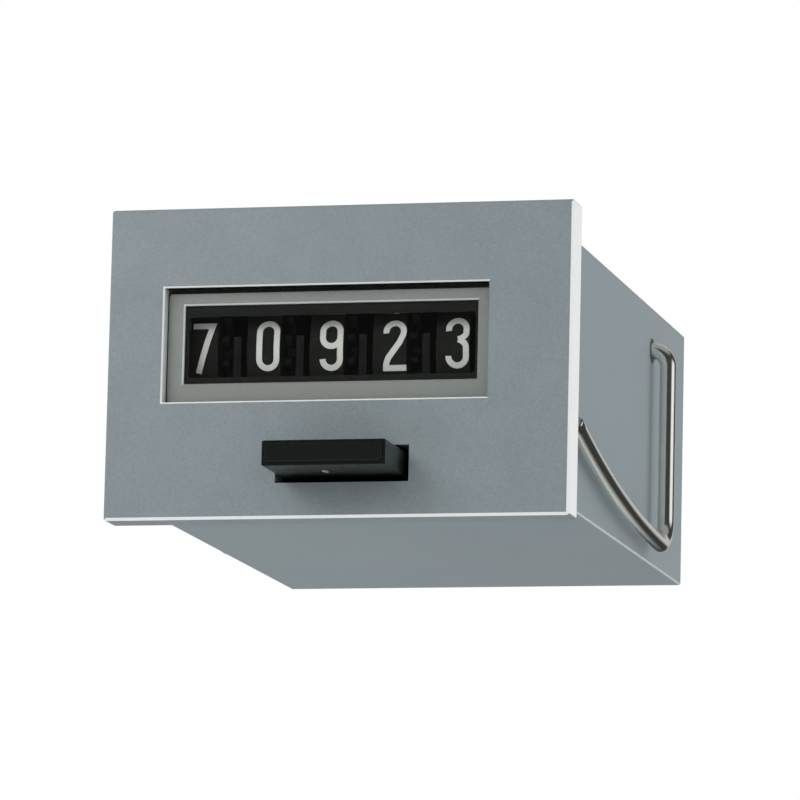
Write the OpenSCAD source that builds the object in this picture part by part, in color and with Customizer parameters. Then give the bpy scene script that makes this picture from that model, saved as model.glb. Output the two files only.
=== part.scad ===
// Panel-mounted electromechanical counter with five number wheels and a reset key.
// Millimetres. +X is to the right, +Z is up and the front faces -Y.
// The origin is the middle of the flange's rear face, the plane that seats on the panel.

/* [Panel flange] */
// Width of the flange
flange_w = 60; // [58:0.5:70]
// Height of the flange
flange_h = 39.8; // [38:0.1:46]
// Thickness of the flange
flange_t = 4.5; // [4:0.1:6]
// Radius of the flange's upright corners
flange_corner_r = 0.4; // [0.3:0.1:2]
// Width of the fine bevel round the flange's front edge
edge_bevel = 0.35; // [0.1:0.05:0.6]

/* [Housing] */
// Width of the housing
body_w = 55; // [54.6:0.1:57]
// Height of the housing
body_h = 34.5; // [34.2:0.1:37]
// Length of the housing behind the panel plane
body_len = 78.5; // [77:0.5:95]
// Wall thickness of the housing
wall = 1.5; // [1.2:0.1:1.7]
// Radius of the housing's long edges
body_corner_r = 0.3; // [0.2:0.1:1.5]
// How far the flange's collar reaches into the housing
collar_len = 6; // [4:0.5:6.5]
// Wall thickness of the collar
collar_t = 1.1; // [0.8:0.1:1.3]
// Depth of the groove in the flange that the housing's front end sits in
groove_depth = 0.8; // [0.6:0.1:1.2]
// Depth of the relief in the flange's rear face inside the collar
back_relief = 0.6; // [0.3:0.1:1]
// How far the rear cover lies inside the end of the housing
cover_inset = 1.5; // [0.5:0.1:2.5]
// Thickness of the rear cover
cover_t = 2; // [1.5:0.1:3]
// Length of the rear cover's skirt
skirt_len = 4; // [3:0.5:6]
// Thickness of the skirt
skirt_t = 1.2; // [0.8:0.1:1.4]
// Length of the inner boss that a retaining wire's end turns in
boss_len = 1.8; // [1.2:0.1:1.9]
// Radius of that boss
boss_r = 2.6; // [2.2:0.1:2.8]
// Height of the rails that hold the side plates upright
rail = 0.8; // [0.5:0.1:0.9]

/* [Cover screws] */
// Sideways places of the two screws
post_x = [-16, 14];
// Height of the screws
post_z = -3; // [-4:0.5:-1]
// Radius of the rear cover's posts
post_r = 3; // [2.6:0.1:3.5]
// Radius of a screw
screw_r = 1.25; // [1:0.05:1.5]
// Depth of the counterbore for a screw's head
head_t = 1.5; // [1:0.1:1.8]
// Width and depth of the slot in a screw's head
driver_slot = [0.6, 0.7];

/* [Window] */
// Sideways place of the middle of the opening that the figures are read through
window_x = -1.5; // [-3:0.1:0]
// Sideways place of the recess's middle
recess_x = -1.75; // [-2.5:0.05:-1]
// Height of the recess's middle
recess_z = 2.4; // [1:0.1:4]
// Width of the recess that holds the pane
recess_w = 42; // [41:0.1:44]
// Height of the recess
recess_h = 14.6; // [13.5:0.1:16]
// Depth of the recess
recess_depth = 1.8; // [1.4:0.1:2.2]
// Thickness of the ledge that the pane rests on
ledge_t = 0.6; // [0.4:0.1:1]
// Width of the opening
sight_w = 38; // [37:0.1:39]
// Height of the opening
sight_h = 10; // [9:0.1:11]
// Bevel round the recess and round the opening
window_bevel = 0.2; // [0.1:0.05:0.35]
// Thickness of the clear pane
pane_t = 1.2; // [0.8:0.1:1.3]
// Width of the mask's rim behind the ledge
mask_rim = 3; // [2:0.1:3.5]

/* [Reset key] */
// Width of the key
key_w = 15.8; // [14:0.1:18]
// Height of the key
key_h = 3.2; // [2.8:0.1:3.6]
// How far the key stands out of the flange
key_reach = 9.7; // [7:0.1:12]
// Sideways place of the key's middle
key_x = 0.87; // [0:0.01:2]
// Height of the key's middle
key_z = -13.1; // [-13.2:0.1:-12.9]
// Radius of the key's front corners
key_corner_r = 0.5; // [0.2:0.1:1]
// Gap between the key and its slot at the sides and ends
key_gap = 0.7; // [0.4:0.1:0.9]
// Travel of the key
key_travel = 4.5; // [3:0.1:5]
// Width and length of the comb's tongue inside the key
tongue = [10, 4.5];

/* [Number wheels] */
// Radius of a number wheel
wheel_r = 12; // [11.4:0.1:12.2]
// Distance from one wheel to the next
wheel_pitch = 8.2; // [8:0.05:8.3]
// Width of the face that carries the figures
face_w = 4.4; // [4:0.1:4.6]
// Thickness of the wheel's rim
rim_t = 1.1; // [0.8:0.1:1.4]
// Thickness of the web between the rim and the hub
web_t = 1; // [0.6:0.1:1.5]
// Radius of the hub
hub_r = 2.5; // [2.2:0.1:3]
// Height of the shoulder between the hub and the web
hub_shoulder = 1; // [0.5:0.1:1.5]
// Gap between one wheel's hub and the next
hub_gap = 0.2; // [0.1:0.05:0.3]
// Radius of the wheel shaft
shaft_r = 1.5; // [1:0.1:1.6]
// Sideways place of the middle wheel's face
figures_x = -2.85; // [-3.05:0.05:-2.5]
// Distance of the wheels behind the panel plane
wheel_inset = 0.7; // [0.5:0.1:2]
// Height of the wheel shaft
wheel_z = 2.7; // [2.4:0.1:3]
// Least and greatest radius of the heart cams
heart_r = [2.7, 4.8];
// Thickness of a heart cam
heart_t = 1.1; // [0.8:0.1:1.1]
// Radius of the smooth carry disc
carry_r = 7.7; // [7:0.1:7.9]
// Thickness of the carry disc
carry_t = 0.9; // [0.6:0.1:1]
// Radius over the two carry teeth
carry_tooth_r = 8.5; // [8:0.1:8.5]
// Width of a carry tooth
carry_tooth_w = 1; // [0.8:0.1:1.2]

/* [Transfer gears] */
// Teeth on each number wheel's gear
gear_teeth = 20;
// Teeth on a transfer pinion
pinion_teeth = 8;
// Tooth module
gear_module = 0.95; // [0.93:0.01:0.95]
// Pressure angle
pressure_angle = 25; // [24:1:26]
// Height of the gear's teeth above the pitch circle
gear_addendum = 0.75; // [0.6:0.05:0.75]
// Height of the pinion's teeth above the pitch circle
pinion_addendum = 0.8; // [0.6:0.05:0.8]
// Thickness taken off each tooth so that the teeth run freely
tooth_relief = 0.12; // [0.08:0.01:0.16]
// Gap between a tooth's tip and the root that it turns in
tip_gap = 0.25; // [0.15:0.05:0.3]
// Width of the gear on the wheel's side
gear_t = 1; // [0.7:0.1:1]
// Angle of the pinions below the level of the wheel shaft
pinion_angle = 27;
// Radius of the pinion shaft
pinion_shaft_r = 0.9; // [0.7:0.1:1]
// Distance from the pinion shaft to the carrier's pivot
carrier_arm = 8; // [7:0.5:9]
// Radius of the carrier's pivot shaft
carrier_shaft_r = 1.3; // [1:0.1:1.5]
// Thickness of the carrier's two sides
carrier_t = 1; // [0.8:0.1:1.2]
// Radius of the carrier's eye round its pivot shaft
carrier_eye_r = 2.6; // [2.2:0.1:2.8]
// Radius of the tube between the carrier's sides
carrier_tube_r = 2.2; // [1.8:0.1:2.4]
// Radius of the carrier's eye round the pinion shaft
pinion_eye_r = 1.9; // [1.6:0.1:2]
// Radius of the end of the carrier's fork
fork_r = 1.9; // [1.7:0.1:2]

/* [Reset comb] */
// Thickness of the comb's plate
comb_t = 1.2; // [0.8:0.1:1.4]
// Depth of a finger from front to back
finger_t = 1.6; // [1:0.1:1.8]
// Height of a finger's top above the wheel shaft
finger_top = 1.7; // [1:0.1:3]
// Gap left between the pressed fingers and the heart cams' tips
finger_gap = 0.25; // [0.2:0.05:0.5]
// Length and height of the brace behind a finger
finger_brace = [5, 5.2];
// Width of the ribs left between the comb's two lightening holes and its rear edge
comb_rib = 3; // [2:0.5:4]
// Width of the ears that hold the cross pins
ear_w = 3; // [2:0.5:4]
// Distance of an ear's edges from the middle of its pin
ear_reach = 1.6; // [1.4:0.1:1.7]
// Distance of the plate's rear edge from the cross pins
comb_tail = 4; // [3.5:0.1:5]
// Radius of the two cross pins at the comb's rear
cross_pin_r = 0.9; // [0.7:0.1:1]
// Sideways place of the return spring
spring_x = 4; // [3:0.5:5]
// Length of the peg that the return spring sits on
peg_len = 5; // [3:0.5:6]
// Radius of the return spring's coil
reset_spring_r = 1.9; // [1.5:0.1:2.2]
// Radius of the return spring's wire
reset_wire_r = 0.25; // [0.2:0.05:0.35]
// Turns of the return spring
reset_turns = 7; // [5:1:8]

/* [Inner frame] */
// Thickness of the side plates
plate_t = 1.2; // [0.8:0.1:1.3]
// Inner face of the left side plate
left_plate_x = -24.6; // [-24.6:0.1:-24.4]
// Inner face of the right side plate
right_plate_x = 21.4; // [21.2:0.1:22]
// Rear end of the side plates
plate_end = 66; // [65:0.5:68]
// Radius of the tie rods
tie_r = 1.5; // [1:0.1:1.7]
// Places of the tie rods behind the panel plane and above the middle
tie_places = [[33.5, 8.5], [35, -7]];
// Thickness of the rear bridge
bridge_t = 2; // [1.5:0.1:3]
// Place of the spring bar's front face
spring_bar_y = 38; // [37:0.1:38]
// Thickness of the spring bar
spring_bar_t = 3; // [2:0.5:3]
// Width and depth of the notch behind the spring bar for the coil
bar_notch = [12, 1.4];

/* [Magnet] */
// Sideways place of the coil
coil_x = -4; // [-6:0.1:-2]
// Height of the coil
coil_z = -3; // [-3.5:0.1:-2.5]
// Radius of the winding
winding_r = 9; // [7:0.1:9.4]
// Radius of the bobbin's flanges
bobbin_r = 10; // [9.5:0.1:10.2]
// Thickness of the bobbin's flanges
bobbin_flange_t = 1.2; // [0.8:0.1:2]
// Gap between the spring bar and the bobbin
bobbin_gap = 1; // [0.5:0.1:1.2]
// Length of the bobbin
bobbin_len = 20; // [16:0.5:20]
// Radius of the iron core
core_r = 3; // [2.5:0.1:3.2]
// Thickness of the yoke
yoke_t = 2; // [1.5:0.1:2.2]
// Thickness of the yoke's ears
yoke_ear_t = 1.5; // [1:0.1:1.8]
// Distance between the armature's pivot and the front of the yoke's top
yoke_gap = 2.4; // [2.2:0.1:3]
// Thickness of the armature
armature_t = 1.4; // [1:0.1:1.5]
// Air gap between the armature and the core
air_gap = 1; // [1:0.05:1.2]
// Radius of the armature's pivot pin
pivot_r = 1; // [0.8:0.1:1.1]
// Height of the armature's pivot
pivot_z = 9; // [8.8:0.1:9.2]
// Material round the armature's pivot pin
pivot_wall = 0.9; // [0.8:0.1:1]
// Swing of the armature
armature_swing = 3.5;
// Thickness of the armature's arm
arm_t = 0.8; // [0.6:0.1:0.8]
// Height of the arm's upper bar
arm_h = 2.4; // [2:0.1:2.6]
// Width of the arm's upright behind the ratchet
arm_column = 1.7; // [1.2:0.1:2]
// Width of a pallet at its tip and at its root
pallet_w = [1, 4];
// Height of the upper and of the lower pallet
pallet_h = [0.6, 0.8];
// Width and thickness of the lug behind the armature's spring
lug = [3, 1.2];
// Distance of that lug from the rear end of the bobbin
lug_inset = 8; // [6:0.5:10]
// Radius of the holes that the spring's ends hook into
eye_r = 0.6; // [0.4:0.1:0.7]
// Height of the armature's spring above the pivot
hook_rise = 4; // [3.6:0.1:4.2]
// Radius of the armature's spring
armature_spring_r = 1.3; // [1:0.1:1.6]
// Radius of that spring's wire
armature_wire_r = 0.2; // [0.15:0.05:0.3]
// Turns of that spring
armature_turns = 11; // [6:1:14]
// Radius over the ratchet's teeth
ratchet_r = 7.2; // [6.5:0.1:7.3]
// Teeth of the ratchet
ratchet_teeth = 10;
// Depth of the ratchet's teeth
ratchet_depth = 1.6; // [1.2:0.1:2]
// Gap between the ratchet and a pallet at its nearest
pallet_gap = 0.15; // [0.1:0.05:0.3]

/* [Retaining wires] */
// Diameter of the wire
wire_d = 2.2; // [1.6:0.1:2.4]
// Distance of the wire's hole behind the panel plane
wire_y = 56.9; // [54:0.1:60]
// Height of the wire's hole
wire_z = 11.4; // [10:0.1:12]
// Radius of the bend outside the hole
wire_bend_r = 2.2; // [2:0.1:2.6]
// Radius of the lower bend
wire_vee_r = 3.8; // [2:0.1:4]
// Lowest level of the wire's middle line
wire_low_z = -15.2; // [-15.8:0.1:-14.5]
// Upward slope of the long leg where it leaves the lower bend
leg_slope = 2.3; // [2:0.1:4]
// Further angle that the long leg's bow turns through
leg_bow = 13.7; // [11:0.1:15]
// Angle by which the long leg leans towards the housing
leg_lean = 0.8; // [0.4:0.1:1]
// Gap between the leg's end and the panel plane
leg_gap = 2.5; // [2.2:0.1:3]

/* [Terminals] */
// Width of a terminal tab
tab_w = 4.8; // [2.8:0.1:6.3]
// Thickness of a terminal tab
tab_t = 0.8; // [0.5:0.1:0.8]
// Length of a tab behind the rear cover
tab_len = 7; // [6:0.5:9]
// Distance between the two tabs
tab_pitch = 14; // [10:0.5:20]
// Height of the tabs
tab_z = 8; // [7:0.5:10]
// Length of a tab inside the rear cover
tab_root = 3; // [2:0.5:4]
// Thickness of the cover's boss round a tab
tab_boss = 1; // [0.8:0.1:1.5]
// Radius of the locking hole in a tab
tab_hole_r = 0.7; // [0.5:0.1:0.9]
// Distance of that hole from the tab's end
tab_hole_end = 2.5; // [2:0.5:3]

/* [Hidden] */

$fn = 64;
// Overlap that lets a cut pass cleanly through a face
cut = 0.5;
// Clearance of a turning or sliding fit, a plain seat and a free gap
run_fit = 0.05;
seat_fit = 0.1;
free_gap = 0.3;
// Overlap of joined outlines
lap = 0.02;
// Figures shown, from the left
shown = [7, 0, 9, 2, 3];
wheel_count = len(shown);
// Turn of a wheel from one figure to the next
figure_step = 36;

inner_w = body_w - 2 * wall;
inner_h = body_h - 2 * wall;
wheel_y = wheel_inset + wheel_r;
gear_r = gear_module * gear_teeth / 2;
pinion_r = gear_module * pinion_teeth / 2;
gear_tip_r = gear_r + gear_addendum;
pinion_tip_r = pinion_r + pinion_addendum;
gear_centres = gear_r + pinion_r;
pinion_y = wheel_y + gear_centres * cos(pinion_angle);
pinion_z = wheel_z - gear_centres * sin(pinion_angle);
carrier_y = pinion_y + carrier_arm * sin(pinion_angle);
carrier_z = pinion_z + carrier_arm * cos(pinion_angle);
slide_z = key_z + 0.1;
cross_pin_y = carrier_y - key_travel / 2;
finger_y = wheel_y - heart_r[1] - finger_gap - key_travel;
comb_top = slide_z + comb_t / 2;
comb_front = finger_y - finger_t;
finger_back = finger_y + finger_brace[0];
carrier_left = left_plate_x + free_gap;
carrier_right = right_plate_x - free_gap;
comb_left = carrier_left + carrier_t + free_gap;
comb_right = carrier_right - carrier_t - free_gap;
comb_back = cross_pin_y - comb_tail;
slot_y = [cross_pin_y, cross_pin_y + key_travel];
key_front = -flange_t - key_reach;
key_back = comb_front - seat_fit;
boss_top = wire_z - boss_r - 2;
bobbin_y = spring_bar_y + spring_bar_t + bobbin_gap;
bobbin_end = bobbin_y + bobbin_len;
core_front = bobbin_y - bobbin_flange_t;
yoke_w = 2 * bobbin_r;
armature_y = core_front - air_gap;
pivot_y = armature_y;
yoke_end = bobbin_end + yoke_t;
yoke_top = pivot_z + yoke_t / 2;
hook_y = bobbin_end - lug_inset;
hook_z = pivot_z + hook_rise;
cover_y = body_len - cover_inset - cover_t;
head_y = cover_y + cover_t - head_t;
tab_end = cover_y + cover_t + tab_len;
wire_r = wire_d / 2;
ratchet_x = figure_x(wheel_count - 1) + face_w / 2;

// Middle of the face of wheel i, counted from the left
function figure_x(i) = figures_x + (i - (wheel_count - 1) / 2) * wheel_pitch;
// Left side of the comb's finger in front of the heart cam of wheel i
function finger_x(i) = figure_x(i) - face_w / 2 - carry_t - heart_t + run_fit;
// A point at radius r and angle a
function polar(r, a) = [r * cos(a), r * sin(a)];
// Involute function of an angle, in degrees
function inv(a) = tan(a) * 180 / PI - a;
// Half of a tooth's angle at radius r
function half_tooth(r, pitch_r, teeth) =
    let (base_r = pitch_r * cos(pressure_angle), at = acos(min(1, base_r / r)))
    90 / teeth - tooth_relief / 2 / pitch_r * 180 / PI + inv(pressure_angle) - inv(at);
// Radii at which a flank has its points
function flank(root_r, tip_r, pitch_r) =
    let (low = max(root_r, pitch_r * cos(pressure_angle)))
    concat([root_r], [for (s = [0:4]) low + (tip_r - low) * s / 4]);

// Turns children so that their X, Y and Z lie along Y, Z and X
module in_yz() rotate([90, 0, 90]) children();
module along_x(x0, x1) translate([x0, 0, 0]) in_yz() linear_extrude(x1 - x0) children();
module along_y(y0, y1) translate([0, y1, 0]) rotate([90, 0, 0]) linear_extrude(y1 - y0) children();
module rod_x(x0, x1, r, y, z) translate([x0, y, z]) rotate([0, 90, 0]) cylinder(h = x1 - x0, r = r);
module rod_y(y0, y1, r, x, z) translate([x, y0, z]) rotate([-90, 0, 0]) cylinder(h = y1 - y0, r = r);
module box(x, y, z) translate([x[0], y[0], z[0]]) cube([x[1] - x[0], y[1] - y[0], z[1] - z[0]]);

module rounded_rect(w, h, r) {
    square([w - 2 * r, h], center = true);
    square([w, h - 2 * r], center = true);
    for (x = [-1, 1], y = [-1, 1]) translate([x * (w / 2 - r), y * (h / 2 - r)]) circle(r);
}

// Prisms that bevel the outer edges of a rectangular plate in the plane y
module rim_cuts(w, h, y, bevel) {
    side = bevel * sqrt(2);
    for (s = [-1, 1]) {
        translate([0, y, s * h / 2]) rotate([45, 0, 0]) cube([w + 2 * bevel, side, side], center = true);
        translate([s * w / 2, y, 0]) rotate([0, 0, 45]) cube([side, side, h + 2 * bevel], center = true);
    }
}

// Funnel that bevels the mouth of a rectangular opening in the plane y
module mouth_cut(w, h, y, bevel)
    polyhedron(points = [for (p = [[y - bevel, 2 * bevel], [y + 2 * bevel, -bevel]],
                              s = [[-1, -1], [1, -1], [1, 1], [-1, 1]])
                         [s[0] * (w / 2 + p[1]), p[0], s[1] * (h / 2 + p[1])]],
        faces = [[3, 2, 1, 0], [0, 1, 5, 4], [1, 2, 6, 5], [2, 3, 7, 6], [3, 0, 4, 7], [4, 5, 6, 7]]);

// A flat link between two round ends
module link(p, rp, q, rq) {
    d = q - p;
    a = atan2(d[1], d[0]);
    b = acos((rp - rq) / norm(d));
    translate(p) circle(rp);
    translate(q) circle(rq);
    polygon([p + polar(rp, a + b), p + polar(rp, a - b), q + polar(rq, a - b), q + polar(rq, a + b)]);
}

// Gear outline with one tooth centred on angle 0
module gear_outline(teeth, pitch_r, root_r, tip_r, every = 1) {
    radii = flank(root_r, tip_r, pitch_r);
    n = len(radii) - 1;
    circle(root_r + lap);
    for (k = [0:every:teeth - 1]) rotate(k * 360 / teeth)
        polygon(concat([[0, 0]],
            [for (s = [0:n]) polar(radii[s], -half_tooth(radii[s], pitch_r, teeth))],
            [for (s = [n:-1:0]) polar(radii[s], half_tooth(radii[s], pitch_r, teeth))]));
}

// Tube through rings of points, each ring right-handed about the way the tube runs
module tube(rings) {
    sides = len(rings[0]);
    last = (len(rings) - 1) * sides;
    polyhedron(points = [for (r = rings) each r], faces = concat(
        [[for (s = [0:sides - 1]) s]],
        [for (k = [0:len(rings) - 2], s = [0:sides - 1])
            let (t = (s + 1) % sides, a = k * sides, b = a + sides)
            each [[a + s, b + s, b + t], [a + s, b + t, a + t]]],
        [[for (s = [sides - 1:-1:0]) last + s]]), convexity = 10);
}

// Coil spring along +Z
module coil_spring(coil_r, strand_r, length, turns) {
    sides = 6;
    steps = 12;
    tube([for (k = [0:turns * steps]) let (a = 360 * k / steps,
             z = strand_r + (length - 2 * strand_r) * k / turns / steps)
        [for (b = [0:360 / sides:359]) let (r = coil_r + strand_r * cos(b))
            [r * cos(a), r * sin(a), z - strand_r * sin(b)]]]);
}

module front_frame() color([0.53, 0.56, 0.58]) {
    collar_w = inner_w - 2 * seat_fit;
    collar_h = inner_h - 2 * seat_fit;
    difference() {
        union() {
            along_y(-flange_t, 0) rounded_rect(flange_w, flange_h, flange_corner_r);
            along_y(-back_relief, collar_len) rounded_rect(collar_w, collar_h, body_corner_r);
        }
        along_y(-back_relief, collar_len + cut)
            rounded_rect(collar_w - 2 * collar_t, collar_h - 2 * collar_t, body_corner_r);
        along_y(-groove_depth, cut) difference() {
            rounded_rect(body_w + 2 * seat_fit, body_h + 2 * seat_fit, body_corner_r);
            rounded_rect(collar_w, collar_h, body_corner_r);
        }
        rim_cuts(flange_w, flange_h, -flange_t, edge_bevel);
        translate([recess_x, 0, recess_z]) {
            along_y(-flange_t - cut, recess_depth - flange_t) square([recess_w, recess_h], center = true);
            mouth_cut(recess_w, recess_h, -flange_t, window_bevel);
        }
        translate([window_x, 0, wheel_z]) {
            along_y(-flange_t, cut) square([sight_w, sight_h], center = true);
            mouth_cut(sight_w, sight_h, recess_depth - flange_t, window_bevel);
            along_y(recess_depth + ledge_t - flange_t, cut) square([sight_w, sight_h] +
                2 * [mask_rim + seat_fit, mask_rim + seat_fit], center = true);
        }
        translate([key_x, 0, key_z]) {
            along_y(-flange_t - cut, cut) square([key_w + 2 * key_gap, key_h + 2 * key_gap], center = true);
            box([-key_w / 2 - key_gap, key_w / 2 + key_gap], [-groove_depth, collar_len + cut],
                [-body_h / 2 - key_z, key_h / 2 + key_gap]);
        }
    }
}

module window_pane() color([0.85, 0.88, 0.88, 0.3])
    translate([recess_x, 0, recess_z])
        along_y(recess_depth - flange_t - pane_t, recess_depth - flange_t)
            square([recess_w - 2 * seat_fit, recess_h - 2 * seat_fit], center = true);

module sight_mask() color([0.03, 0.03, 0.03])
    translate([window_x, 0, wheel_z])
        along_y(recess_depth + ledge_t - flange_t, wheel_inset - free_gap - seat_fit) difference() {
            square([sight_w + 2 * mask_rim, sight_h + 2 * mask_rim], center = true);
            square([sight_w, sight_h], center = true);
        }

module housing() color([0.47, 0.5, 0.52]) {
    rail_end = wire_y - 2 * boss_r;
    difference() {
        union() {
            along_y(-groove_depth, body_len) difference() {
                rounded_rect(body_w, body_h, body_corner_r);
                rounded_rect(inner_w, inner_h, body_corner_r / 2);
            }
            for (side = [-1, 1]) {
                translate([side * (inner_w - boss_len) / 2, wire_y, wire_z]) rotate([0, 90, 0])
                    cylinder(h = boss_len + cut, r = boss_r, center = true);
                // Rails that hold the side plates upright
                for (x = [left_plate_x + free_gap / 2, right_plate_x - free_gap / 2 - rail])
                    box([x, x + rail], [collar_len + free_gap, rail_end],
                        side > 0 ? [inner_h / 2 - rail, inner_h / 2 + cut]
                                 : [-inner_h / 2 - cut, rail - inner_h / 2]);
            }
        }
        for (side = [-1, 1]) {
            translate([side * body_w / 2, wire_y, wire_z]) rotate([0, 90, 0]) {
                cylinder(h = 4 * (wall + boss_len), r = wire_r + run_fit, center = true);
                cylinder(h = wall, r = wire_r + 2 * free_gap, center = true);
            }
        }
    }
}

module rear_cover() color([0.1, 0.1, 0.1]) {
    w = inner_w - 2 * seat_fit;
    h = inner_h - 2 * seat_fit;
    difference() {
        union() {
            along_y(cover_y, cover_y + cover_t) rounded_rect(w, h, body_corner_r);
            along_y(cover_y - skirt_len, cover_y + cut) difference() {
                rounded_rect(w, h, body_corner_r);
                rounded_rect(w - 2 * skirt_t, h - 2 * skirt_t, body_corner_r);
            }
            for (x = post_x) rod_y(plate_end, cover_y + cut, post_r, x, post_z);
            for (x = [-1, 1]) translate([x * tab_pitch / 2, 0, tab_z])
                box([-tab_w / 2 - tab_boss, tab_w / 2 + tab_boss], [cover_y, cover_y + cover_t + tab_boss],
                    [-tab_t / 2 - tab_boss, tab_t / 2 + tab_boss]);
        }
        for (x = post_x) {
            rod_y(0, body_len, screw_r + free_gap / 2, x, post_z);
            rod_y(head_y, body_len, 2 * screw_r + free_gap, x, post_z);
        }
        for (x = [-1, 1]) translate([x * tab_pitch / 2, 0, tab_z])
            box([-tab_w / 2, tab_w / 2], [cover_y - cut, body_len], [-tab_t / 2, tab_t / 2]);
    }
}

module cover_screws() color([0.72, 0.72, 0.7]) {
    end = head_y + head_t - seat_fit;
    for (x = post_x) translate([x, 0, post_z]) difference() {
        union() {
            rod_y(plate_end - bridge_t, head_y + cut, screw_r, 0, 0);
            rod_y(head_y, end, 2 * screw_r, 0, 0);
        }
        box([-post_r, post_r], [end - driver_slot[1], end + cut], [-driver_slot[0] / 2, driver_slot[0] / 2]);
    }
}

module side_plate(x) color([0.6, 0.6, 0.57]) {
    top = inner_h / 2 - seat_fit;
    notch_y = wire_y - wire_z + boss_top;
    start = collar_len + free_gap;
    along_x(x, x + plate_t) difference() {
        polygon([[start, -top], [plate_end, -top], [plate_end, boss_top], [notch_y, boss_top],
                 [notch_y, top], [start, top]]);
        translate([wheel_y, wheel_z]) circle(shaft_r);
        translate([carrier_y, carrier_z]) circle(carrier_shaft_r);
        for (p = tie_places) translate(p) circle(tie_r);
        translate([slot_y[0], slide_z - cross_pin_r - run_fit])
            square([slot_y[1] - slot_y[0], 2 * (cross_pin_r + run_fit)]);
        for (y = slot_y) translate([y, slide_z]) circle(cross_pin_r + run_fit);
    }
}

module left_side_plate() side_plate(left_plate_x - plate_t);
module right_side_plate() side_plate(right_plate_x);

module tie_rods() color([0.7, 0.7, 0.68])
    for (p = tie_places) rod_x(left_plate_x - plate_t, right_plate_x + plate_t, tie_r, p[0], p[1]);

module spring_bar() color([0.6, 0.6, 0.57]) difference() {
    box([left_plate_x, right_plate_x], [spring_bar_y, spring_bar_y + spring_bar_t],
        [slide_z - reset_spring_r, slide_z + reset_spring_r + 2 * reset_wire_r]);
    box([coil_x - bar_notch[0] / 2, coil_x + bar_notch[0] / 2],
        [spring_bar_y + spring_bar_t - bar_notch[1], bobbin_y], [slide_z - 2 * reset_spring_r, coil_z]);
}

module rear_bridge() color([0.12, 0.12, 0.12]) difference() {
    box([left_plate_x, right_plate_x], [yoke_end, yoke_end + bridge_t], [coil_z - bobbin_r, boss_top]);
    for (x = post_x) rod_y(yoke_end - cut, yoke_end + bridge_t + cut, screw_r, x, post_z);
}

module wheel_shaft() color([0.75, 0.75, 0.74])
    rod_x(left_plate_x - plate_t, right_plate_x + plate_t, shaft_r, wheel_y, wheel_z);

module heart_outline(turn) {
    steps = 18;
    rotate(turn) polygon([for (k = [0:2 * steps - 1]) let (a = 180 * k / steps)
        polar(heart_r[0] + (heart_r[1] - heart_r[0]) * (1 - abs(a - 180) / 180), a)]);
}

// One wheel with its heart cam, carry disc and figures' rim, and the gear or ratchet at its right
module number_wheel(i) color([0.04, 0.04, 0.04]) {
    x = figure_x(i);
    left = x - face_w / 2;
    right = x + face_w / 2;
    turn = shown[i] * figure_step;
    hub_end = left + wheel_pitch - carry_t - heart_t - hub_gap;
    translate([0, wheel_y, wheel_z]) difference() {
        union() {
            along_x(left, right) difference() {
                circle(wheel_r);
                circle(wheel_r - rim_t);
            }
            along_x(right - web_t, right) circle(wheel_r - rim_t / 2);
            along_x(left - carry_t - heart_t, hub_end) circle(hub_r);
            along_x(left - carry_t - heart_t, left - carry_t) heart_outline(turn);
            if (i > 0) along_x(left - carry_t, left) union() {
                circle(carry_r);
                for (s = [-1, 1]) rotate(180 + turn + s * 180 / gear_teeth)
                    translate([0, -carry_tooth_w / 2]) square([carry_tooth_r, carry_tooth_w]);
            }
            along_x(left - (i > 0 ? carry_t : 0), right - web_t / 2) circle(hub_r + hub_shoulder);
            along_x(right - web_t / 2, right + gear_t) rotate(180 / gear_teeth)
                if (i < wheel_count - 1)
                    gear_outline(gear_teeth, gear_r, gear_centres - pinion_tip_r - tip_gap, gear_tip_r);
                else ratchet_outline();
        }
        along_x(left - wheel_pitch, right + wheel_pitch) circle(shaft_r + run_fit);
    }
}

module ratchet_outline() {
    root = 180 / ratchet_teeth + lap;
    tip = root / 4;
    for (k = [0:ratchet_teeth - 1]) rotate(k * 360 / ratchet_teeth)
        polygon([[0, 0], polar(ratchet_r - ratchet_depth, -root), polar(ratchet_r, -tip),
                 polar(ratchet_r, tip), polar(ratchet_r - ratchet_depth, root)]);
}

module carrier_shaft() color([0.75, 0.75, 0.74])
    rod_x(left_plate_x - plate_t, right_plate_x + plate_t, carrier_shaft_r, carrier_y, carrier_z);

module carrier_side() {
    pivot = [carrier_y, carrier_z];
    pinion = [pinion_y, pinion_z];
    pin = [cross_pin_y, slide_z];
    reach = norm(pin - pivot);
    down = atan2(pin[1] - pivot[1], pin[0] - pivot[0]);
    fork_w = cross_pin_r + 3 * run_fit;
    difference() {
        union() {
            link(pivot, carrier_eye_r, pinion, pinion_eye_r);
            link(pivot, carrier_eye_r, pivot + polar(reach - free_gap, down), fork_r);
        }
        translate(pivot) circle(carrier_shaft_r + run_fit);
        translate(pinion) circle(pinion_shaft_r);
        translate(pivot) rotate(down) translate([reach - 2 * cross_pin_r, -fork_w])
            square([reach, 2 * fork_w]);
    }
}

module pinion_carrier() color([0.68, 0.68, 0.66]) {
    along_x(carrier_left, carrier_left + carrier_t) carrier_side();
    along_x(carrier_right - carrier_t, carrier_right) carrier_side();
    along_x(carrier_left, carrier_right) translate([carrier_y, carrier_z]) difference() {
        circle(carrier_tube_r);
        circle(carrier_shaft_r + run_fit);
    }
}

module pinion_shaft() color([0.75, 0.75, 0.74])
    rod_x(carrier_left, carrier_right, pinion_shaft_r, pinion_y, pinion_z);

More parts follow.
